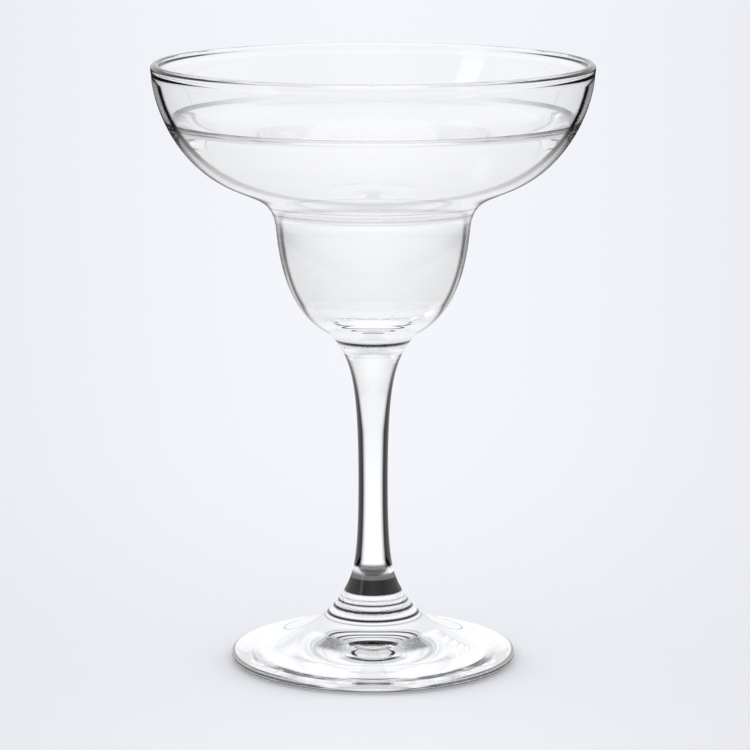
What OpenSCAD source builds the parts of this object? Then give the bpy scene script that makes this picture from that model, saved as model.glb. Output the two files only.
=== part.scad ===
// Margarita glass: a wide saucer over a narrower well, on a drawn stem and a pressed foot.
// Three pieces of clear glass, welded end to end while hot, so their seam faces lie flat on each other.
// The origin is the middle of the resting ring, on the surface that the glass stands on. Z is up.

/* [Foot] */
// Diameter of the foot at its widest
foot_d = 73.7; // [66:0.1:84]
// Height of the foot, from the table to the weld with the stem
foot_h = 21.5; // [18:0.1:26]
// Thickness of the foot's rounded edge
foot_edge_t = 2.3; // [1.8:0.1:3]
// Diameter at which the foot's disc turns up into its cone
foot_cone_d = 31.4; // [27:0.1:35]
// Height of the disc's top where the cone starts
foot_cone_z = 8.7; // [7.4:0.1:10.4]
// Diameter of the neck at the weld with the stem
neck_d = 11.7; // [10:0.1:14]
// How far the resting ring stays in from the foot's widest place
rest_inset = 4.85; // [4:0.05:5.4]
// Width of the flat ring that the foot rests on
rest_w = 3; // [2:0.1:4.4]
// Rise of the hollow under the foot, where its outer slope meets the middle
hollow_h = 1.4; // [1:0.1:2]
// Diameter of the middle of the hollow
pushup_d = 40; // [34:0.1:46]
// Rise of the middle above the table
pushup_h = 3.9; // [3:0.1:5.5]

/* [Stem] */
// Length of the stem, from weld to weld
stem_l = 63.5; // [50:0.1:80]
// Diameter of the stem at its waist
waist_d = 7.62; // [6.4:0.02:9]
// Height of the waist above the lower weld
waist_z = 25.1; // [20:0.1:30]
// Diameter of the stem's head at the weld with the bowl
head_d = 21.7; // [18:0.1:25]

/* [Bowl] */
// Height of the bowl, from its weld to the top of the rim
bowl_h = 69.4; // [62:0.1:78]
// Diameter of the glass across the rim
rim_d = 112; // [102:0.2:122]
// Thickness of the wall in the saucer
wall_t = 1.95; // [1.4:0.05:2.4]
// Thickness of the wall in the well
well_wall_t = 2.2; // [1.6:0.05:3]
// Thickness of the solid floor under the well
floor_t = 5.9; // [3:0.1:7]
// Thickness of the fire-polished bead along the rim
bead_t = 2.35; // [2:0.05:3]
// Height of the stretch in which the wall swells into the bead
bead_h = 3.4; // [2.8:0.1:5]
// Diameter of the well at its widest
well_d = 49.26; // [44:0.1:56]
// Height of the well's widest place above the weld
well_z = 27; // [23:0.1:30]
// Diameter of the saucer's underside, out from the throat
saucer_d = 72.8; // [66:0.1:82]
// Height of that underside above the weld
saucer_z = 38.2; // [34:0.1:44]

/* [Hidden] */

// Steps along each curve of an outline, and round the half circles of the rim and the foot's edge
curve_steps = 18;
arc_steps = 12;
// Facets shown round a turned solid
turn_facets = 180;

// Headings of the outlines, in degrees up from straight out
foot_rim_heading = 173;
cone_heading = 144.7;
neck_heading = 108.7;
waist_heading = 90;
head_heading = 52.8;
bowl_heading = 33;
well_heading = 84.9;
saucer_heading = 23.4;
rim_heading = 87;
// Headings under the foot, going out from the middle
hollow_heading = -10;
ring_heading = -7;

// How far each curve holds the heading of its two ends, as shares of the distance between them
disc_shares = [0.33, 0.33];
cone_shares = [0.286, 0.381];
lower_stem_shares = [0.119, 0.75];
upper_stem_shares = [0.726, 0.202];
well_shares = [0.146, 0.686];
throat_shares = [0.462, 0.478];
saucer_shares = [0.464, 0.177];
bead_shares = [0.45, 0.45];
floor_shares = [0.52, 0.44];
pushup_shares = [0.42, 0.42];
hollow_shares = [0.4, 0.3];
edge_shares = [0.5, 0.18];

// Heights of the two welds and of the rim
stem_z = foot_h;
bowl_z = foot_h + stem_l;
total_h = bowl_z + bowl_h;

// Places on the foot's outline, as [radius, height]
edge_r = foot_edge_t / 2;
edge_mid = [foot_d / 2 - edge_r, edge_r];
edge_top = [edge_mid[0], foot_edge_t];
cone_start = [foot_cone_d / 2, foot_cone_z];
neck = [neck_d / 2, stem_z];
rest_out = [foot_d / 2 - rest_inset, 0];
rest_in = rest_out - [rest_w, 0];
pushup_edge = [pushup_d / 2, hollow_h];
pushup_top = [0, pushup_h];

// Places on the stem's outline
waist = [waist_d / 2, stem_z + waist_z];
head = [head_d / 2, bowl_z];

// Places on the bowl's outer outline
well_out = [well_d / 2, bowl_z + well_z];
saucer_out = [saucer_d / 2, bowl_z + saucer_z];
bead_r = bead_t / 2;
bead_mid = [rim_d / 2 - bead_r, total_h - bead_r];
bead_proud = (bead_t - wall_t) / 2;
wall_top = [rim_d / 2 - bead_proud, total_h - bead_h];

// Places on the bowl's inner outline, one wall in from the outer ones
well_in = inset(well_out, well_heading, well_wall_t);
saucer_in = inset(saucer_out, saucer_heading, (wall_t + well_wall_t) / 2);
wall_top_in = [wall_top[0] - wall_t, wall_top[1]];
floor_top = [0, bowl_z + floor_t];

// The unit step along a heading
function step_along(heading) = [cos(heading), sin(heading)];

// The place one thickness to the left of an outline that passes a point along a heading
function inset(p, heading, thickness) = p + thickness * step_along(heading + 90);

// The point at share u of the cubic curve through four controls
function on_cubic(a, b, c, d, u) =
    (1 - u) * (1 - u) * (1 - u) * a
    + 3 * (1 - u) * (1 - u) * u * b
    + 3 * (1 - u) * u * u * c
    + u * u * u * d;

// The curve from p to q that leaves along one heading and arrives along another, without its last point
function curve(p, p_heading, q, q_heading, shares) =
    let (reach = norm(q - p))
    [for (i = [0:curve_steps - 1]) on_cubic(
        p,
        p + shares[0] * reach * step_along(p_heading),
        q - shares[1] * reach * step_along(q_heading),
        q,
        i / curve_steps
    )];

// An arc round a middle, from one angle to another, without its last point
function arc(middle, r, from, to) =
    [for (i = [0:arc_steps - 1]) middle + r * step_along(from + (to - from) * i / arc_steps)];

// A solid turned from an outline
module turned(outline) {
    rotate_extrude($fn = turn_facets) polygon(outline);
}

// The foot's underside, out along the hollow, round the edge and up the cone to the neck
foot_outline = concat(
    curve(pushup_top, 0, pushup_edge, hollow_heading, pushup_shares),
    curve(pushup_edge, hollow_heading, rest_in, ring_heading, hollow_shares),
    [rest_in],
    curve(rest_out, 0, [foot_d / 2, edge_r], 90, edge_shares),
    arc(edge_mid, edge_r, 0, 90),
    curve(edge_top, foot_rim_heading, cone_start, cone_heading, disc_shares),
    curve(cone_start, cone_heading, neck, neck_heading, cone_shares),
    [neck, [0, stem_z]]
);

module foot() {
    color("gainsboro") turned(foot_outline);
}

// The stem, from the lower weld through the waist to the head under the bowl
stem_outline = concat(
    [[0, stem_z]],
    curve(neck, neck_heading, waist, waist_heading, lower_stem_shares),
    curve(waist, waist_heading, head, head_heading, upper_stem_shares),
    [head, [0, bowl_z]]
);

module stem() {
    color("aliceblue") turned(stem_outline);
}

// The bowl: up the outside, over the bead and down the inside to the floor
bowl_outer = concat(
    curve(head, bowl_heading, well_out, well_heading, well_shares),
    curve(well_out, well_heading, saucer_out, saucer_heading, throat_shares),
    curve(saucer_out, saucer_heading, wall_top, rim_heading, saucer_shares),
    curve(wall_top, rim_heading, [rim_d / 2, bead_mid[1]], 90, bead_shares)
);
bowl_inner = concat(
    curve(floor_top, 0, well_in, well_heading, floor_shares),
    curve(well_in, well_heading, saucer_in, saucer_heading, throat_shares),
    curve(saucer_in, saucer_heading, wall_top_in, rim_heading, saucer_shares),
    curve(wall_top_in, rim_heading, [bead_mid[0] - bead_r, bead_mid[1]], 90, bead_shares)
);
function reversed(points) = [for (i = [len(points) - 1:-1:0]) points[i]];
bowl_outline = concat(
    [[0, bowl_z]],
    bowl_outer,
    arc(bead_mid, bead_r, 0, 180),
    [[bead_mid[0] - bead_r, bead_mid[1]]],
    reversed(bowl_inner)
);

module bowl() {
    color("lightcyan") turned(bowl_outline);
}

foot();
stem();
bowl();
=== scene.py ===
# Margarita glass filled with a clear drink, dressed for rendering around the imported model.
# Metres throughout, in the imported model's own frame: the glass stands on z = 0 and turns about the Z axis.
import bpy
import math
import numpy as np
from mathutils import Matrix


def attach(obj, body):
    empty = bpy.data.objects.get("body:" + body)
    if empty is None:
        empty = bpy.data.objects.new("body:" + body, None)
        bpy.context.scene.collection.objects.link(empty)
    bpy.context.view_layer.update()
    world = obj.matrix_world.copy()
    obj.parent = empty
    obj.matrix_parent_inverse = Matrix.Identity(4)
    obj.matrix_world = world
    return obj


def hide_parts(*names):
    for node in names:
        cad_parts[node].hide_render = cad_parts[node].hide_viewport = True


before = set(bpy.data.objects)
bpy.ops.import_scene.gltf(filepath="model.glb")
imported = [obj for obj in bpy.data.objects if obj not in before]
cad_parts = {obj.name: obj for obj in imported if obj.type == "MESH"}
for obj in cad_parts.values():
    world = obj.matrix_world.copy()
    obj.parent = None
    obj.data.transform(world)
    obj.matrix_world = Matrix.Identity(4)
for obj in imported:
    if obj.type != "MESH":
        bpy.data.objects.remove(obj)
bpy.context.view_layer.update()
scene = bpy.context.scene

mm = 0.001

# Camera

camera = {
    "distance": 850.9 * mm,   # from the glass's axis, along the floor
    "height": 236.7 * mm,     # above the floor
    "pitch": 10.807,          # degrees down
    "lens": 162.4,            # millimetres, on a sensor of 36
    "sensor": 36.0,
    "axisPixel": 373.1,       # where the glass's axis stands in the picture
    "pictureSize": 750,
    "clip": (0.01, 50),       # the nearest and the farthest that it sees
}


def makeCamera():
    # The camera stands at (0, -distance, height) and looks along +Y, turned down by the pitch.
    data = bpy.data.cameras.new("photoCamera")
    data.lens = camera["lens"]
    data.sensor_width = camera["sensor"]
    data.sensor_fit = "HORIZONTAL"
    data.shift_x = (camera["pictureSize"] / 2 - camera["axisPixel"]) / camera["pictureSize"]
    data.clip_start, data.clip_end = camera["clip"]
    body = bpy.data.objects.new("photoCamera", data)
    scene.collection.objects.link(body)
    body.location = (0, -camera["distance"], camera["height"])
    body.rotation_euler = (math.radians(90 - camera["pitch"]), 0, 0)
    scene.camera = body


makeCamera()
scene.view_settings.view_transform = "Standard"
scene.cycles.max_bounces = 40
scene.cycles.transmission_bounces = 40
scene.cycles.glossy_bounces = 24
scene.cycles.transparent_max_bounces = 40
print("camera made, lens", camera["lens"])

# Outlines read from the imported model, and the surfaces turned from them

turning = {
    "steps": 192,           # round the axis
    "grid": 0.0002 * mm,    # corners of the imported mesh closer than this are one
    "cornerTurn": 12.0,     # degrees; a sharper turn in an outline stays a corner
    "straightTurn": 0.1,    # degrees; a smaller turn is a point along a straight run
    "splinePoints": 4000,   # of each spline, before its points are spread
    "longest": 0.7 * mm,    # longest stretch between points of a finished outline
    "turnPerPoint": 2.5,    # degrees
    "axis": 1e-7,           # an outline that ends within this of the axis is closed there
    "shortest": 1e-9,       # keeps a length from being zero
}


def turnsOf(points):
    # The change of heading at each inner point, in degrees, with zero at the two ends.
    steps = np.diff(points, axis=0)
    heading = np.unwrap(np.arctan2(steps[:, 1], steps[:, 0]))
    return np.degrees(np.concatenate([[0], np.diff(heading), [0]]))


def outlineOf(node):
    # A node's outline in the half plane y = 0, x > 0: every side of a triangle that lies in that half
    # plane joins two outline points, and the sides are followed from the free end nearest the axis.
    # Points along straight runs are dropped. Returns rows of (radius, height).
    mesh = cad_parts[node].data
    places = np.empty(len(mesh.vertices) * 3)
    mesh.vertices.foreach_get("co", places)
    mesh.calc_loop_triangles()
    corners = np.empty(len(mesh.loop_triangles) * 3, dtype=np.int64)
    mesh.loop_triangles.foreach_get("vertices", corners)
    grid = turning["grid"]
    cells = np.round(places.reshape(-1, 3) / grid).astype(np.int64)
    spots, where = np.unique(cells, axis=0, return_inverse=True)
    where = where.ravel()
    spots = spots * grid
    inPlane = (np.abs(spots[:, 1]) < 2 * grid) & (spots[:, 0] > -2 * grid)
    pairs = where[corners.reshape(-1, 3)][:, [[0, 1], [1, 2], [2, 0]]].reshape(-1, 2)
    pairs = pairs[inPlane[pairs].all(axis=1)]
    links = {}
    for a, b in np.unique(np.sort(pairs, axis=1), axis=0).tolist():
        if a != b:
            links.setdefault(a, []).append(b)
            links.setdefault(b, []).append(a)
    freeEnds = [p for p in links if len(links[p]) == 1]
    chain = [min(freeEnds, key=lambda p: (spots[p, 0], spots[p, 2]))]
    onward = links[chain[0]]
    while onward:
        chain.append(onward[0])
        onward = [p for p in links[chain[-1]] if p != chain[-2]]
    points = spots[chain][:, [0, 2]]
    keep = np.abs(turnsOf(points)) > turning["straightTurn"]
    keep[[0, -1]] = True
    return points[keep]


def splineThrough(knots):
    # A cubic curve with an even bend through the knots, against their chord length. Its second
    # derivatives solve the usual three-term rows, and at each end they repeat their neighbour's.
    # Through fewer than four knots it is straight runs.
    reach = np.concatenate([[0], np.cumsum(np.hypot(*np.diff(knots, axis=0).T))])
    gap = np.diff(reach)
    count = len(knots)
    if count < 4:
        return lambda at: np.stack([np.interp(at, reach, knots[:, k]) for k in (0, 1)], axis=1), reach
    rows = np.zeros((count, count))
    wanted = np.zeros((count, 2))
    inner = np.arange(1, count - 1)
    rows[inner, inner - 1] = gap[:-1]
    rows[inner, inner] = 2 * (gap[:-1] + gap[1:])
    rows[inner, inner + 1] = gap[1:]
    slope = np.diff(knots, axis=0) / gap[:, None]
    wanted[inner] = 6 * np.diff(slope, axis=0)
    rows[0, :2] = (1, -1)
    rows[-1, -2:] = (-1, 1)
    bend = np.linalg.solve(rows, wanted)

    def at(s):
        k = np.clip(np.searchsorted(reach, s, side="right") - 1, 0, count - 2)
        h = gap[k][:, None]
        a = (reach[k + 1] - s)[:, None]
        b = (s - reach[k])[:, None]
        return (
            (bend[k] * a ** 3 + bend[k + 1] * b ** 3) / (6 * h)
            + (knots[k] / h - bend[k] * h / 6) * a
            + (knots[k + 1] / h - bend[k + 1] * h / 6) * b
        )

    return at, reach


def smoothOutline(knots, zones=()):
    # The outline as a fine row of points: each stretch between corners becomes one spline, kept within
    # the knots' own box. Its points lie closer where it bends and in the zones, which give (radius from,
    # radius to, height from, height to, longest stretch). Returns the points, and True at the corners
    # and the two ends.
    corners = np.flatnonzero(np.abs(turnsOf(knots)) > turning["cornerTurn"])
    stops = [0, *corners.tolist(), len(knots) - 1]
    parts, sharp = [], []
    for first, last in zip(stops[:-1], stops[1:]):
        at, reach = splineThrough(knots[first:last + 1])
        fine = at(np.linspace(0, reach[-1], turning["splinePoints"]))
        fine = np.clip(fine, knots.min(axis=0), knots.max(axis=0))
        turned = np.concatenate([[0], np.cumsum(np.abs(turnsOf(fine))[1:-1]), [0]])
        turned[-1] = turned[-2]
        gaps = np.hypot(*np.diff(fine, axis=0).T)
        run = np.concatenate([[0], np.cumsum(gaps)])
        longest = np.full(len(gaps), turning["longest"])
        for inner, outer, low, high, finest in zones:
            near, level = fine[1:, 0], fine[1:, 1]
            longest[(near > inner) & (near < outer) & (level > low) & (level < high)] = finest
        measure = np.concatenate([[0], np.cumsum(gaps / longest)]) + turned / turning["turnPerPoint"]
        count = max(1, math.ceil(measure[-1]))
        spread = np.interp(np.linspace(0, measure[-1], count + 1), measure, run)
        points = np.stack([np.interp(spread, run, fine[:, k]) for k in (0, 1)], axis=1)
        parts.append(points[:-1])
        sharp.append(np.arange(count) == 0)
    parts.append(knots[-1:])
    sharp.append(np.array([True]))
    return np.concatenate(parts), np.concatenate(sharp)


def ringed(outline, rings):
    # Pressed rings: a point of the upper side moves along the outline's normal by the sum over the
    # rings of rise * exp(-((radius - place) / width)^2). Rings are (place, width, rise) in millimetres.
    heading = np.gradient(outline, axis=0)
    heading /= np.maximum(np.hypot(*heading.T), turning["shortest"])[:, None]
    outward = np.stack([heading[:, 1], -heading[:, 0]], axis=1)
    rise = np.zeros(len(outline))
    for place, width, height in rings:
        rise += height * mm * np.exp(-((outline[:, 0] / mm - place) / width) ** 2)
    rise[outward[:, 1] <= 0] = 0
    rise[[0, -1]] = 0
    return outline + outward * rise[:, None]


def plainSlots(line):
    # The first material for every band of an outline, and the second for the discs at its ends.
    return {"bands": np.zeros(len(line) - 1), "start": 1, "end": 1}


def turnedPiece(name, outline, sharp, slots, materials):
    # The outline carried round Z: a point is (r cos t, r sin t, z) at equal steps of t. Points on the
    # axis become one pole each, and an open end away from the axis is closed by a flat disc to a pole
    # at its own height. Faces look outward when the outline runs with the solid on its left. Slots
    # give a material for each band between points, one for the disc at the start and one for that at
    # the end.
    steps = turning["steps"]
    rings = outline
    startOpen = outline[0, 0] > turning["axis"]
    endOpen = outline[-1, 0] > turning["axis"]
    if startOpen:
        rings = np.concatenate([[[0, outline[0, 1]]], rings])
    if endOpen:
        rings = np.concatenate([rings, [[0, outline[-1, 1]]]])
    bands = np.concatenate([
        [slots["start"]] if startOpen else [],
        slots["bands"],
        [slots["end"]] if endOpen else [],
    ]).astype(np.int32)
    edges = np.concatenate([[False] if startOpen else [], sharp, [False] if endOpen else []]).astype(bool)
    angle = np.linspace(0, 2 * math.pi, steps, endpoint=False)
    body = rings[1:-1]
    grid = np.empty((len(body), steps, 3))
    grid[..., 0] = body[:, 0:1] * np.cos(angle)
    grid[..., 1] = body[:, 0:1] * np.sin(angle)
    grid[..., 2] = body[:, 1:2]
    places = np.concatenate([[[0, 0, rings[0, 1]]], grid.reshape(-1, 3), [[0, 0, rings[-1, 1]]]])
    ring = 1 + np.arange(len(body))[:, None] * steps + np.arange(steps)[None, :]
    beside = np.roll(ring, -1, axis=1)
    quads = np.stack([ring[:-1], beside[:-1], beside[1:], ring[1:]], axis=-1).reshape(-1, 4)
    first = np.stack([np.zeros(steps, dtype=np.int64), beside[0], ring[0]], axis=-1)
    last = np.stack([ring[-1], beside[-1], np.full(steps, len(places) - 1)], axis=-1)
    mesh = bpy.data.meshes.new(name)
    mesh.vertices.add(len(places))
    mesh.vertices.foreach_set("co", places.ravel())
    loops = np.concatenate([first.ravel(), quads.ravel(), last.ravel()]).astype(np.int32)
    sizes = np.concatenate([np.full(steps, 3), np.full(len(quads), 4), np.full(steps, 3)])
    mesh.loops.add(len(loops))
    mesh.loops.foreach_set("vertex_index", loops)
    mesh.polygons.add(len(sizes))
    mesh.polygons.foreach_set("loop_start", np.concatenate([[0], np.cumsum(sizes)[:-1]]).astype(np.int32))
    mesh.polygons.foreach_set("material_index", np.repeat(bands, steps))
    mesh.polygons.foreach_set("use_smooth", np.ones(len(sizes), dtype=bool))
    mesh.update(calc_edges=True)
    # An edge is sharp where both of its ends lie on the ring of a corner; the poles lie on no ring
    ends = np.empty(len(mesh.edges) * 2, dtype=np.int64)
    mesh.edges.foreach_get("vertices", ends)
    level = np.concatenate([[-1], np.repeat(np.arange(len(body)), steps), [-2]])[ends.reshape(-1, 2)]
    crease = np.zeros(len(level), dtype=bool)
    same = (level[:, 0] == level[:, 1]) & (level[:, 0] >= 0)
    crease[same] = edges[1:-1][level[same, 0]]
    mark = mesh.attributes.new("sharp_edge", "BOOLEAN", "EDGE")
    mark.data.foreach_set("value", crease)
    mesh.validate()
    for material in materials:
        mesh.materials.append(material)
    piece = bpy.data.objects.new(name, mesh)
    scene.collection.objects.link(piece)
    print(name, "made from", len(outline), "outline points")
    return piece


# Nodes, and the materials of glass and drink

glass = {
    "ior": 1.52,
    "shadowTint": (0.985, 0.986, 0.988, 1),
    "paintedRimLight": (0.04, 0.09),  # how far past Full the painted rim light begins, and is full
    "slantBlend": 0.5,         # Facing is then 1 less the cosine of the slant
    "waveDetail": 1.0,
}


def feed(links, socket, value):
    # A socket takes another node's output, or a plain value.
    if isinstance(value, bpy.types.NodeSocket):
        links.new(value, socket)
    else:
        socket.default_value = value


def mathNode(nodes, links, operation, *values):
    node = nodes.new("ShaderNodeMath")
    node.operation = operation
    for socket, value in zip(node.inputs, values):
        feed(links, socket, value)
    return node.outputs["Value"]


def smoothRange(nodes, links, value, low, high, start, end):
    # A smooth step of the value: start below low, and end above high.
    node = nodes.new("ShaderNodeMapRange")
    node.interpolation_type = "SMOOTHSTEP"
    feed(links, node.inputs["Value"], value)
    for label, number in (("From Min", low), ("From Max", high), ("To Min", start), ("To Max", end)):
        feed(links, node.inputs[label], number)
    return node.outputs["Result"]


def mixNode(nodes, links, kind, factor, first, second):
    # first * (1 - factor) + second * factor, of two numbers or two colours.
    node = nodes.new("ShaderNodeMix")
    node.data_type = kind
    for label, value in (("Factor", factor), ("A", first), ("B", second)):
        feed(links, node.inputs[label], value)
    return node.outputs["Result"]


def mixShaders(nodes, links, factor, first, second):
    node = nodes.new("ShaderNodeMixShader")
    for socket, output in zip(node.inputs, (factor, first, second)):
        links.new(output, socket)
    return node.outputs[0]


def shortHands(nodes, links):
    # The arithmetic of one node tree: calc works a sum, and step is a smooth step over a span.
    def calc(operation, *values):
        return mathNode(nodes, links, operation, *values)

    def step(value, span, start, end):
        return smoothRange(nodes, links, value, *span, start, end)

    return calc, step


def newMaterial(name):
    material = bpy.data.materials.new(name)
    material.use_nodes = True
    material.node_tree.nodes.clear()
    return material, material.node_tree.nodes, material.node_tree.links


def asSurface(nodes, links, shader):
    out = nodes.new("ShaderNodeOutputMaterial")
    links.new(shader, out.inputs["Surface"])


def newGroup(name, inputs, outputs):
    group = bpy.data.node_groups.new(name, "ShaderNodeTree")
    for label, kind, value in inputs:
        socket = group.interface.new_socket(label, in_out="INPUT", socket_type=kind)
        socket.default_value = value
    for label, kind in outputs:
        group.interface.new_socket(label, in_out="OUTPUT", socket_type=kind)
    return group, group.nodes, group.links


def makePaintedEdgeShade():
    # Painted shade at slanted faces, standing in for light that thick glass carries off sideways: the colour
    #  falls from Body towards Edge, by Depth times a smooth step of Facing between Start and Full. A little
    #  past
    #  Full, over the range in glass["paintedRimLight"], a painted rim light brings it back by the share Rim
    #  Light.
    group, nodes, links = newGroup("paintedEdgeShade", [
        ("Facing", "NodeSocketFloat", 0.0),
        ("Start", "NodeSocketFloat", 0.5),
        ("Full", "NodeSocketFloat", 1.0),
        ("Depth", "NodeSocketFloat", 1.0),
        ("Rim Light", "NodeSocketFloat", 0.0),
        ("Body", "NodeSocketColor", (1, 1, 1, 1)),
        ("Edge", "NodeSocketColor", (0, 0, 0, 1)),
    ], [("Colour", "NodeSocketColor")])
    calc, step = shortHands(nodes, links)
    given = nodes.new("NodeGroupInput").outputs
    result = nodes.new("NodeGroupOutput")
    darkening = step(given["Facing"], (given["Start"], given["Full"]), 0.0, given["Depth"])
    past = [calc("ADD", given["Full"], after) for after in glass["paintedRimLight"]]
    back = step(given["Facing"], past, 0.0, given["Rim Light"])
    dark = calc("MULTIPLY", darkening, calc("SUBTRACT", 1.0, back))
    links.new(mixNode(nodes, links, "RGBA", dark, given["Body"], given["Edge"]), result.inputs["Colour"])
    return group


def makeMeltWaves():
    # The faint unevenness that glass keeps from the melt: a broad noise, and a finer one that is drawn
    # out along Z by Draw, both read from the object's own place.
    group, nodes, links = newGroup("meltWaves", [
        ("Place", "NodeSocketVector", (0, 0, 0)),
        ("Broad Scale", "NodeSocketFloat", 60.0),
        ("Fine Scale", "NodeSocketFloat", 700.0),
        ("Draw", "NodeSocketFloat", 0.1),
        ("Fine Share", "NodeSocketFloat", 0.1),
    ], [("Height", "NodeSocketFloat")])
    given = nodes.new("NodeGroupInput").outputs
    result = nodes.new("NodeGroupOutput")
    spread = nodes.new("ShaderNodeCombineXYZ")
    for socket, value in zip(spread.inputs, (1.0, 1.0, given["Draw"])):
        feed(links, socket, value)
    drawn = nodes.new("ShaderNodeVectorMath")
    drawn.operation = "MULTIPLY"
    links.new(given["Place"], drawn.inputs[0])
    links.new(spread.outputs["Vector"], drawn.inputs[1])

    def noise(place, scale):
        node = nodes.new("ShaderNodeTexNoise")
        node.inputs["Detail"].default_value = glass["waveDetail"]
        links.new(place, node.inputs["Vector"])
        links.new(scale, node.inputs["Scale"])
        return node.outputs["Fac"]

    broad = noise(given["Place"], given["Broad Scale"])
    fine = noise(drawn.outputs["Vector"], given["Fine Scale"])
    share = mathNode(nodes, links, "MULTIPLY", fine, given["Fine Share"])
    links.new(mathNode(nodes, links, "ADD", broad, share), result.inputs["Height"])
    return group


paintedEdgeShade = makePaintedEdgeShade()
meltWaves = makeMeltWaves()


def glassMaterial(name, look, ior):
    # Clear glass: its colour carries painted shade and a painted rim light by the slant and the height
    #  (paintedEdgeShade), its bump is meltWaves, and shadow rays pass straight through it.
    material, nodes, links = newMaterial(name)
    shader = nodes.new("ShaderNodeBsdfPrincipled")
    shader.inputs["Roughness"].default_value = 0.0
    shader.inputs["IOR"].default_value = ior
    shader.inputs["Transmission Weight"].default_value = 1.0
    coordinates = nodes.new("ShaderNodeTexCoord")
    slant = nodes.new("ShaderNodeLayerWeight")
    slant.inputs["Blend"].default_value = glass["slantBlend"]
    edge = nodes.new("ShaderNodeGroup")
    edge.node_tree = paintedEdgeShade
    edge.inputs["Body"].default_value = look["tint"]
    links.new(slant.outputs["Facing"], edge.inputs["Facing"])
    links.new(edge.outputs["Colour"], shader.inputs["Base Color"])
    # The painted shade's Start, Full and Depth and the painted Rim Light change with the height, by the
    # look's levels
    split = nodes.new("ShaderNodeSeparateXYZ")
    climb = nodes.new("ShaderNodeMapRange")
    low, high = look["span"]
    climb.inputs["From Min"].default_value = low * mm
    climb.inputs["From Max"].default_value = high * mm
    ramp = nodes.new("ShaderNodeValToRGB")
    stops = ramp.color_ramp.elements
    for k, (height, *values) in enumerate(look["levels"]):
        at = (height - low) / (high - low)
        stop = stops[k] if k < 2 else stops.new(at)
        stop.position = at
        stop.color = values
    shares = nodes.new("ShaderNodeSeparateColor")
    links.new(coordinates.outputs["Object"], split.inputs["Vector"])
    links.new(split.outputs["Z"], climb.inputs["Value"])
    links.new(climb.outputs["Result"], ramp.inputs["Fac"])
    links.new(ramp.outputs["Color"], shares.inputs["Color"])
    for channel, socket in (("Red", "Start"), ("Green", "Full"), ("Blue", "Depth")):
        links.new(shares.outputs[channel], edge.inputs[socket])
    links.new(ramp.outputs["Alpha"], edge.inputs["Rim Light"])
    waves = nodes.new("ShaderNodeGroup")
    waves.node_tree = meltWaves
    for socket, value in (("Broad Scale", "broadScale"), ("Fine Scale", "fineScale"), ("Draw", "draw"),
                          ("Fine Share", "fineShare")):
        waves.inputs[socket].default_value = look[value]
    bump = nodes.new("ShaderNodeBump")
    bump.inputs["Strength"].default_value = look["waveStrength"]
    bump.inputs["Distance"].default_value = look["waveHeight"]
    links.new(coordinates.outputs["Object"], waves.inputs["Place"])
    links.new(waves.outputs["Height"], bump.inputs["Height"])
    links.new(bump.outputs["Normal"], shader.inputs["Normal"])
    through = nodes.new("ShaderNodeBsdfTransparent")
    through.inputs["Color"].default_value = glass["shadowTint"]
    path = nodes.new("ShaderNodeLightPath")
    asSurface(nodes, links, mixShaders(nodes, links, path.outputs["Is Shadow Ray"], shader.outputs[0],
                                       through.outputs[0]))
    return material


def weldMaterial(name):
    # Nothing is seen where two pieces are one glass, nor where the drink wets the wall.
    material, nodes, links = newMaterial(name)
    shader = nodes.new("ShaderNodeBsdfPrincipled")
    shader.inputs["Alpha"].default_value = 0.0
    asSurface(nodes, links, shader.outputs[0])
    return material


weld = weldMaterial("hotWeld")
print("node groups and the weld's material made")

# Levels of a look are (height in millimetres, start, full, depth, rim light) of the painted shade at
#  slanted faces and its painted rim light, from the lowest up.


def even(height, depth):
    # A level of painted shade where every face is dark by the depth, however it slants, because Start lies
    # above Full.
    return (height, 1, 0.98, depth, 0)


# Foot

foot = {
    "rings": [(7.15, 0.3, 0.03), (8.95, 0.3, 0.02), (10.1, 0.35, 0.03), (11.75, 0.4, 0.03)],
    "fineZone": (5.9 * mm, 15 * mm, 4.5 * mm, 21 * mm, 0.16 * mm),  # the cone
    "edgeFrom": 35.5 * mm,     # the rounded edge begins at this radius of the underside
    "edgeTo": 2.29 * mm,       # and ends at this height
    "paintedDarkRings": [             # painted shade rings on the cone: lowest, highest, depth
        (11.3, 11.3, 0.8),
        (12.0, 12.4, 1.0),
        (13.75, 14.2, 1.0),
        (15.35, 15.6, 1.0),
        (16.5, 16.5, 0.7),
    ],
    "ringFade": 0.3,           # millimetres, above and below each painted dark ring
}


def ringLevels(rings, fade):
    # Each ring is painted shade, dark from its lowest to its highest place, and fades into clear glass.
    levels = []
    for low, high, depth in rings:
        levels += [even(low - fade, 0), even(low, depth)]
        levels += [even(high, depth)] * (high > low) + [even(high + fade, 0)]
    return levels


footLook = {
    "tint": (0.99, 0.993, 0.994, 1),
    "span": (0, 24),
    # Painted shade: dark slanted sides and a painted rim light on the cone, painted dark rings and a painted
    # dark neck
    "levels": [
        (2.5, 0.84, 0.99, 0, 0), (5.8, 0.30, 0.42, 0, 1), (6.4, 0.30, 0.42, 0.9, 1),
        (8.0, 0.24, 0.36, 0.9, 1), (8.8, 0.24, 0.36, 0, 1), even(10.2, 0),
        *ringLevels(foot["paintedDarkRings"], foot["ringFade"]),
        even(17.5, 0), even(17.9, 1.0), even(21.6, 1.0),
    ],
    "broadScale": 90.0, "fineScale": 500.0, "draw": 1.0, "fineShare": 0.1,
    "waveStrength": 1.0, "waveHeight": 0.01 * mm,
}
underLook = dict(footLook, levels=[even(0.0, 0), even(3.9, 0)])
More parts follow.
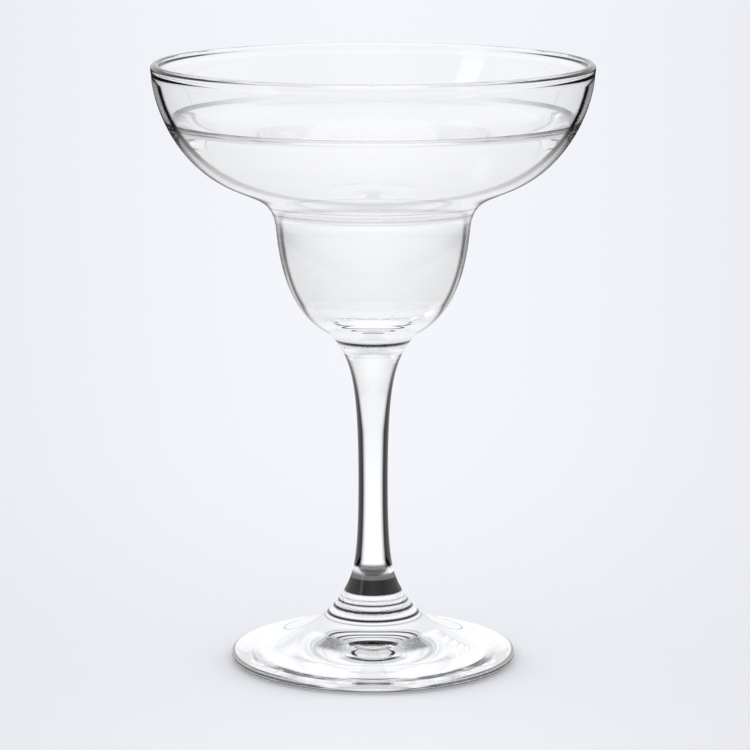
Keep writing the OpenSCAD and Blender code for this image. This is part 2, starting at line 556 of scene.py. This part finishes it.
# The rounded edge is painted dark, as painted shade, except where it squarely faces the eye
edgeLook = dict(footLook, span=(0, 4), waveHeight=0.03 * mm, broadScale=160.0, levels=[
    (0.12, 0.68, 0.71, 0.9, 0), (0.4, 0.42, 0.46, 0.4, 0), (0.7, 0.19, 0.24, 1.0, 0),
    (0.95, 0.09, 0.14, 0.9, 0), (1.15, 0.035, 0.08, 0.3, 0), (1.35, 0.03, 0.07, 1.0, 0),
    (1.7, 0.055, 0.10, 0.9, 0), (1.9, 0.14, 0.19, 0.3, 0), (2.1, 0.295, 0.33, 0.95, 0),
    (2.25, 0.5, 0.55, 0.8, 0)])
footGlass = glassMaterial("footGlass", footLook, glass["ior"])
underGlass = glassMaterial("underGlass", underLook, glass["ior"])
edgeGlass = glassMaterial("edgeGlass", edgeLook, glass["ior"])

footLine, footSharp = smoothOutline(outlineOf("foot"), [foot["fineZone"]])
footLine = ringed(footLine, foot["rings"])
footSlots = plainSlots(footLine)
edgeStart = int(np.flatnonzero(footLine[:, 0] > foot["edgeFrom"])[0])
edgeEnd = int(np.flatnonzero(footLine[:, 1] < foot["edgeTo"])[-1])
footSlots["bands"][:edgeStart] = 2            # underGlass
footSlots["bands"][edgeStart:edgeEnd] = 3     # edgeGlass
footPiece = turnedPiece("pressed_foot", footLine, footSharp, footSlots,
                        (footGlass, weld, underGlass, edgeGlass))

# Stem

stemLook = {
    "tint": (0.998, 0.999, 1.0, 1),
    "span": (20, 86),
    # Painted shade: a painted dark neck at the bottom, dark slanted sides, and painted dark rings at the
    # head
    "levels": [
        even(20.5, 1.0), even(22.8, 0.97), even(23.6, 0),
        (23.8, 0.10, 0.28, 0, 0), (24.6, 0.10, 0.28, 1.0, 0), (46, 0.10, 0.28, 1.0, 0),
        (60, 0.12, 0.30, 1.0, 0), (68, 0.24, 0.42, 1.0, 0), (74, 0.32, 0.55, 1.0, 0),
        (78, 0.4, 0.65, 1.0, 0), (80.3, 0.5, 0.75, 1.0, 0), (80.5, 0.5, 0.75, 0, 0),
        even(80.7, 0), even(81.0, 0.5), even(81.3, 0.05), even(82.9, 0.05),
        even(83.2, 1.0), even(84.0, 1.0), even(84.3, 0.05),
    ],
    "broadScale": 60.0, "fineScale": 900.0, "draw": 0.05, "fineShare": 0.1,
    "waveStrength": 1.0, "waveHeight": 0.01 * mm,
}
stemGlass = glassMaterial("stemGlass", stemLook, glass["ior"])

stemLine, stemSharp = smoothOutline(outlineOf("stem"))
stemPiece = turnedPiece("drawn_stem", stemLine, stemSharp, plainSlots(stemLine), (stemGlass, weld))

# Bowl, and the drink that wets it

bowl = {
    "rings": [(1.6, 0.5, 0.05), (3.6, 0.5, 0.05), (5.6, 0.5, 0.05), (7.6, 0.5, 0.04), (9.6, 0.5, 0.03)],
    "fineZone": (0, 12 * mm, 88 * mm, 96 * mm, 0.16 * mm),  # the well's floor
}
drink = {
    "ior": 1.34,
    "level": 139.5 * mm,
    "climb": 1.5 * mm,         # how far the drink climbs the wall
    "climbReach": 2.2 * mm,    # how quickly that dies out away from the wall
    "clearance": 0.02 * mm,    # between the drink's side and the wall
    "topPoints": 60,           # of its top's outline, wall and axis included
    "topSpread": 1.6,          # above 1, they lie closer at the wall
}
outerLook = {
    "tint": (0.999, 0.999, 1.0, 1),
    "span": (84, 156),
    # Painted shade: dark slanted outlines and painted dark lines at the rim, with a painted rim light
    "levels": [
        even(85.1, 0), even(85.5, 0.2), even(85.9, 0),
        (86, 0.78, 0.92, 0.9, 0), (89, 0.72, 0.88, 1.0, 0), (94, 0.60, 0.70, 1.0, 0.15),
        (102, 0.60, 0.68, 1.0, 0.4), (112, 0.60, 0.67, 0.9, 0.5), (118, 0.64, 0.69, 0.4, 1.0),
        (125, 0.65, 0.7, 0.5, 0.9), (135, 0.68, 0.715, 1.0, 0.4), (144, 0.70, 0.74, 1.0, 0.4),
        (150.2, 0.70, 0.74, 1.0, 0.3), (151.5, 0.75, 0.9, 1.0, 0), (152.0, 0.2, 0.42, 1.0, 0),
        (152.25, 0.2, 0.42, 1.0, 0), (152.6, 0.75, 0.9, 1.0, 0), (153.3, 0.75, 0.9, 1.0, 0),
        (153.5, 0.0, 0.3, 1.0, 0), (153.85, 0.0, 0.25, 1.0, 0), (154.1, 0.6, 0.9, 1.0, 0),
    ],
    "broadScale": 30.0, "fineScale": 300.0, "draw": 0.5, "fineShare": 0.05,
    "waveStrength": 1.0, "waveHeight": 0.005 * mm,
}
# Painted shade on the inner wall: faint dark slanted faces and painted dark lines at the rim
innerLook = dict(outerLook, levels=[
    (139, 0.8, 1.0, 0.2, 0), (152.6, 0.8, 1.0, 0.2, 0), (152.9, 0.75, 0.9, 0.9, 0),
    (153.2, 0.1, 0.4, 1.0, 0), (153.5, 0.1, 0.4, 1.0, 0), (153.8, 0.75, 0.9, 1.0, 0)])
# Painted shade on the wet wall: dark slanted faces, and an even painted shade over parts of the well
wetLook = dict(outerLook, levels=[
    (86, 0.84, 0.97, 0.5, 0), (91.5, 0.84, 0.97, 0.5, 0), (93, 0.9, 1.0, 0, 0),
    even(95, 0.08), even(100, 0.05), even(108, 0), even(115, 0), even(120, 0.03), even(136, 0.03),
    even(138, 0.03), (138.8, 0.04, 0.3, 0, 0), (139.3, 0.04, 0.3, 0.8, 0)])
outerGlass = glassMaterial("outerGlass", outerLook, glass["ior"])
innerGlass = glassMaterial("innerGlass", innerLook, glass["ior"])
wetGlass = glassMaterial("wetGlass", wetLook, glass["ior"] / drink["ior"])  # glass against the drink

# The outline starts at the well's floor. The inside runs up to the rim, wet up to where the drink climbs
bowlLine, bowlSharp = smoothOutline(outlineOf("bowl"), [bowl["fineZone"]])
bowlLine = ringed(bowlLine[::-1], bowl["rings"])[::-1]
rim = int(np.argmax(bowlLine[:, 1]))
wetTop = drink["level"] + drink["climb"]
inside = bowlLine[:rim + 1]
lower = int(np.flatnonzero(inside[:, 1] < wetTop)[-1])
share = (wetTop - inside[lower, 1]) / (inside[lower + 1, 1] - inside[lower, 1])
wetPoint = inside[lower] + share * (inside[lower + 1] - inside[lower])
bowlLine = np.insert(bowlLine, lower + 1, wetPoint, axis=0)
bowlSharp = np.insert(bowlSharp, lower + 1, False)
bowlSlots = plainSlots(bowlLine)
bowlSlots["bands"][:lower + 1] = 2            # wetGlass
bowlSlots["bands"][lower + 1:rim] = 3         # innerGlass
bowlSlots["bands"] = bowlSlots["bands"][::-1]
bowlPiece = turnedPiece("blown_bowl", bowlLine[::-1], bowlSharp[::-1], bowlSlots,
                        (outerGlass, weld, wetGlass, innerGlass))

# The drink's side follows the wet wall, and its top lies at level + climb * exp(-d / climbReach) at the
# distance d from the wall

drinkLook = {
    "tint": (0.98, 0.984, 0.99, 1),
    "span": (100, 156),
    # Painted shade: the drink's top a little darker where it slants
    "levels": [(139, 0.5, 0.75, 0.14, 0), (142, 0.5, 0.75, 0.14, 0)],
    "broadScale": 25.0, "fineScale": 100.0, "draw": 1.0, "fineShare": 0.0,
    "waveStrength": 1.0, "waveHeight": 0.003 * mm,
}
drinkTop = glassMaterial("drinkTop", drinkLook, drink["ior"])

side = bowlLine[:lower + 2].copy()
away = np.linspace(0, 1, drink["topPoints"])[1:-1] ** drink["topSpread"]
radius = wetPoint[0] * (1 - away)
rise = drink["climb"] * np.exp(-(wetPoint[0] - radius) / drink["climbReach"])
top = np.stack([radius, drink["level"] + rise], axis=1)
drinkLine = np.concatenate([side, top, [[0, drink["level"]]]])
drinkSharp = np.zeros(len(drinkLine), dtype=bool)
drinkSharp[len(side) - 1] = True
heading = np.gradient(side, axis=0)
heading /= np.hypot(*heading.T)[:, None]
inward = np.stack([-heading[:, 1], heading[:, 0]], axis=1)
drinkLine[1:len(side)] += inward[1:] * drink["clearance"]
drinkLine[0, 1] += drink["clearance"]
drinkSlots = plainSlots(drinkLine)
drinkSlots["bands"][:len(side) - 1] = 1       # the side isn't seen: the wet wall stands for it
clearDrink = turnedPiece("clear_drink", drinkLine, drinkSharp, drinkSlots, (drinkTop, weld))

for piece, node, slot in (
    (footPiece, "foot", "foot_glass"),
    (stemPiece, "stem", "stem_glass"),
    (bowlPiece, "bowl", "bowl_glass"),
):
    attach(piece, "root")
    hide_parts(node)
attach(clearDrink, "root")

# Room, floor and light

room = {
    "color": (0.972, 0.98, 1, 1),
    "floorLight": 1.045,        # how brightly it lights the floor
    "wall": 1.0,                # what the glass sees of the room
    "panels": 4.0,              # soft panels round the glass
    "panelDip": 0.2,            # how much darker the gaps between them are
    "horizon": 0.95,            # how bright the walls are at the horizon
    "horizonRange": (0.0, 0.12),  # sine of the elevation, from there up to their full brightness
    "ceiling": 0.8,
    "ceilingRange": (0.85, 0.97),
}


def makeRoom():
    # The room round the glass: plain white light on the floor, and for what the glass shows, soft panels,
    # shade wall * (1 - dip * (1 - cos(panels * a)) / 2) at angle a, under a darker ceiling.
    world = bpy.data.worlds.new("studio")
    scene.world = world
    world.use_nodes = True
    nodes, links = world.node_tree.nodes, world.node_tree.links
    calc, step = shortHands(nodes, links)
    back = nodes["Background"]
    place = nodes.new("ShaderNodeTexCoord")
    split = nodes.new("ShaderNodeSeparateXYZ")
    links.new(place.outputs["Generated"], split.inputs[0])
    x, y, z = split.outputs["X"], split.outputs["Y"], split.outputs["Z"]
    wave = calc("COSINE", calc("MULTIPLY", calc("ARCTAN2", x, y), room["panels"]))
    half = room["wall"] * room["panelDip"] / 2
    walls = calc("MULTIPLY_ADD", wave, half, room["wall"] - half)
    walls = calc("MULTIPLY", walls, step(z, room["horizonRange"], room["horizon"], 1.0))
    high = step(z, room["ceilingRange"], 0.0, 1.0)
    shade = mixNode(nodes, links, "FLOAT", high, walls, room["ceiling"])
    path = nodes.new("ShaderNodeLightPath")
    seen = calc("MAXIMUM", path.outputs["Is Glossy Ray"], path.outputs["Is Transmission Ray"])
    links.new(mixNode(nodes, links, "FLOAT", seen, room["floorLight"], shade), back.inputs["Strength"])
    back.inputs["Color"].default_value = room["color"]


floor = {
    "size": 8.0,
    "color": (0.892, 0.900, 0.929, 1),
    "poolDrop": 0.134,          # how much darker the floor is painted away from its painted pool of light
    "poolWidth": 112 * mm,      # half width of the pool at the glass
    "poolSpread": 0.127,        # and how fast it widens towards the back
    "poolFront": -0.1,          # in front of this y it keeps its width
    "shadow": 0.2,              # how dark the painted shadow is next to the foot, in front of it
    "shadowFrom": 36.8 * mm,    # radius of the foot's edge
    "shadowReach": 3.5 * mm,
    "shadowRange": (-22 * mm, 12 * mm),  # y where it is full, and where it has died out
    "glow": 0.12,               # painted glow, standing in for the light that the glass throws on the floor in front
    "glowPlace": -50 * mm,      # its y
    "glowSize": (11 * mm, 16 * mm),
    "throughNear": 1.17,        # painted light: how bright the floor shines through glass, next to the glass
    "throughFar": 1.03,         # and away from it
    "throughRange": (0.04, 0.45),  # radius, from near to far
    "dipRange": (0.3, 3.0),     # radius over which the floor takes on the walls' dip
    "poolThrough": 0.3,         # how much of the painted pool shows through glass
    # Painted reflections: how brightly the floor shines for mirrored rays, by their length
    "mirroredEdge": 0.2,        # what the foot's edge mirrors of the floor right under it
    "mirroredNear": 0.9,        # what the foot mirrors
    "mirroredFar": 0.03,        # and the bowl
    "edgeRays": (1.5 * mm, 3.5 * mm),  # length of the mirrored ray, from the edge's to the foot's
    "bowlRays": (0.32, 0.46),   # and from the foot's to the bowl's
}
paintedContactShadow = {
    "inner": (28.8 * mm, 29.8 * mm),   # the painted contact shadow, a dark ring where the foot rests, over these radii
    "outer": (37.0 * mm, 38.0 * mm),
    "color": (0.03, 0.035, 0.045, 1),
    "front": (-14 * mm, -3 * mm),      # y where it is full, and where it has died out
    "gap": 8 * mm,                     # half width of the painted bright gap in the ring, in front
    "gapPower": 4.0,                   # how square the gap is
    "gapRange": (-10 * mm, 0.0),       # y where the gap is full, and where it ends
    "streaksRound": 4.0,               # painted dark streaks are long round the ring
    "streaksAcross": 400.0,            # and narrow across it
    "streakDetail": 2.0,
    "streakRange": (0.42, 0.62),       # of the noise, from dark to clear
    "streakRest": 0.1,                 # how dark the ring is between the streaks
}


def makeFloor():
    # Seen directly, the floor's colour carries a painted pool of light, 1 - drop * (1 - exp(-(x / w)^2))
    # with w growing with y,
    #  times 1 less a painted shadow, plus a painted glow. Through glass and mirrored, it shines with painted
    #  light of its own.
    mesh = bpy.data.meshes.new("paleFloor")
    half = floor["size"] / 2
    corners = [(-half, -half, 0), (half, -half, 0), (half, half, 0), (-half, half, 0)]
    mesh.from_pydata(corners, [], [(0, 1, 2, 3)])
    plane = bpy.data.objects.new("paleFloor", mesh)
    scene.collection.objects.link(plane)
    material, nodes, links = newMaterial("paleFloor")
    calc, step = shortHands(nodes, links)
    place = nodes.new("ShaderNodeTexCoord")
    split = nodes.new("ShaderNodeSeparateXYZ")
    links.new(place.outputs["Object"], split.inputs[0])
    x, y = split.outputs["X"], split.outputs["Y"]
    radius = calc("SQRT", calc("ADD", calc("MULTIPLY", x, x), calc("MULTIPLY", y, y)))

    def fadeOut(value):
        # exp(-value)
        return calc("EXPONENT", calc("MULTIPLY", value, -1.0))

    back = calc("MAXIMUM", y, floor["poolFront"])
    width = calc("MULTIPLY_ADD", back, floor["poolSpread"], floor["poolWidth"])
    ratio = calc("DIVIDE", x, width)
    fade = fadeOut(calc("MULTIPLY", ratio, ratio))
    pool = calc("MULTIPLY_ADD", fade, floor["poolDrop"], 1 - floor["poolDrop"])
    # The painted glow is exp(-((x / a)^2 + ((y - place) / b)^2))
    across = calc("DIVIDE", x, floor["glowSize"][0])
    forth = calc("DIVIDE", calc("SUBTRACT", y, floor["glowPlace"]), floor["glowSize"][1])
    glow = fadeOut(calc("MULTIPLY_ADD", across, across, calc("MULTIPLY", forth, forth)))
    # A painted soft shadow round the foot's front, where light bent aside by the foot would leave one:
    # shadow * exp(-(r - from) / reach)
    outside = calc("MAXIMUM", calc("SUBTRACT", radius, floor["shadowFrom"]), 0.0)
    apart = calc("DIVIDE", outside, floor["shadowReach"])
    shadow = calc("MULTIPLY", fadeOut(apart), step(y, floor["shadowRange"], floor["shadow"], 0.0))
    unshaded = calc("MULTIPLY", pool, calc("SUBTRACT", 1.0, shadow))
    shade = calc("MULTIPLY_ADD", glow, floor["glow"], unshaded)
    black = (0, 0, 0, 1)
    shader = nodes.new("ShaderNodeBsdfDiffuse")
    links.new(mixNode(nodes, links, "RGBA", shade, black, floor["color"]), shader.inputs["Color"])

    # Through glass the floor shines with painted light that fades with the distance into the walls, and
    # shares their dip
    through = step(radius, floor["throughRange"], floor["throughNear"], floor["throughFar"])
    wave = calc("COSINE", calc("MULTIPLY", calc("ARCTAN2", x, y), room["panels"]))
    dip = calc("MULTIPLY", calc("SUBTRACT", 1.0, wave), room["panelDip"] / 2)
    afar = step(radius, floor["dipRange"], 0.0, 1.0)
    through = calc("MULTIPLY", through, calc("SUBTRACT", 1.0, calc("MULTIPLY", afar, dip)))

    # The painted contact shadow's dark streaks run round it: a noise at (round x / r, round y / r, across
    # r). The
    #  painted ring dies out towards the back, and in front a painted bright gap lets the light through.
    band = calc("MULTIPLY", step(radius, paintedContactShadow["inner"], 0.0, 1.0),
                step(radius, paintedContactShadow["outer"], 1.0, 0.0))
    aside = calc("ABSOLUTE", calc("DIVIDE", x, paintedContactShadow["gap"]))
    gap = calc("MULTIPLY", fadeOut(calc("POWER", aside, paintedContactShadow["gapPower"])),
               step(y, paintedContactShadow["gapRange"], 1.0, 0.0))
    streakPlace = nodes.new("ShaderNodeCombineXYZ")
    for socket, value in (("X", x), ("Y", y)):
        turn = calc("MULTIPLY", calc("DIVIDE", value, radius), paintedContactShadow["streaksRound"])
        links.new(turn, streakPlace.inputs[socket])
    links.new(calc("MULTIPLY", radius, paintedContactShadow["streaksAcross"]), streakPlace.inputs["Z"])
    streaks = nodes.new("ShaderNodeTexNoise")
    streaks.inputs["Scale"].default_value = 1.0
    streaks.inputs["Detail"].default_value = paintedContactShadow["streakDetail"]
    links.new(streakPlace.outputs["Vector"], streaks.inputs["Vector"])
    streak = step(streaks.outputs["Fac"], paintedContactShadow["streakRange"], 1.0, 0.0)
    ring = calc("MULTIPLY", band, calc("SUBTRACT", 1.0, gap))
    ring = calc("MULTIPLY", ring, step(y, paintedContactShadow["front"], 1.0, 0.0))
    rest = paintedContactShadow["streakRest"]
    ring = calc("MULTIPLY", ring, calc("MULTIPLY_ADD", streak, 1 - rest, rest))
    poolThrough = calc("MULTIPLY_ADD", pool, floor["poolThrough"], 1 - floor["poolThrough"])
    plain = mixNode(nodes, links, "RGBA", poolThrough, black, floor["color"])
    lit = nodes.new("ShaderNodeEmission")
    links.new(mixNode(nodes, links, "RGBA", ring, plain, paintedContactShadow["color"]), lit.inputs["Color"])
    links.new(through, lit.inputs["Strength"])

    # Painted reflections: the foot mirrors a bright floor close by, its edge a dark one under it, and the
    # bowl a dark one
    path = nodes.new("ShaderNodeLightPath")
    refracted, length = path.outputs["Is Transmission Ray"], path.outputs["Ray Length"]
    mirrored = calc("MULTIPLY", path.outputs["Is Glossy Ray"], calc("SUBTRACT", 1.0, refracted))
    dark = nodes.new("ShaderNodeEmission")
    near = step(length, floor["edgeRays"], floor["mirroredEdge"], 1.0)
    far = step(length, floor["bowlRays"], floor["mirroredNear"], floor["mirroredFar"])
    links.new(calc("MULTIPLY", near, far), dark.inputs["Strength"])
    seen = mixShaders(nodes, links, refracted, shader.outputs[0], lit.outputs[0])
    asSurface(nodes, links, mixShaders(nodes, links, mirrored, seen, dark.outputs[0]))
    mesh.materials.append(material)


makeFloor()

strip = {
    "side": 58,              # degrees left of the camera, seen from the glass
    "distance": 1.1,
    "width": 0.27,
    "low": 0.2,
    "high": 1.0,
    "strength": 1.7,
}


def makeStrip():
    # A narrow upright panel, facing the glass: its foot is at (-d sin s, -d cos s).
    turn = math.radians(strip["side"])
    middle = np.array([-math.sin(turn), -math.cos(turn)]) * strip["distance"]
    along = np.array([math.cos(turn), -math.sin(turn)]) * strip["width"] / 2
    corners = [middle - along, middle + along, middle + along, middle - along]
    heights = [strip["low"], strip["low"], strip["high"], strip["high"]]
    mesh = bpy.data.meshes.new("stripLight")
    mesh.from_pydata([(*c.tolist(), h) for c, h in zip(corners, heights)], [], [(0, 1, 2, 3)])
    panel = bpy.data.objects.new("stripLight", mesh)
    scene.collection.objects.link(panel)
    material, nodes, links = newMaterial("stripLight")
    lit = nodes.new("ShaderNodeEmission")
    lit.inputs["Strength"].default_value = strip["strength"]
    asSurface(nodes, links, lit.outputs[0])
    mesh.materials.append(material)
    panel.visible_camera = False
    panel.visible_diffuse = False
    panel.visible_shadow = False


makeStrip()
makeRoom()
print("floor, strip light and room made")
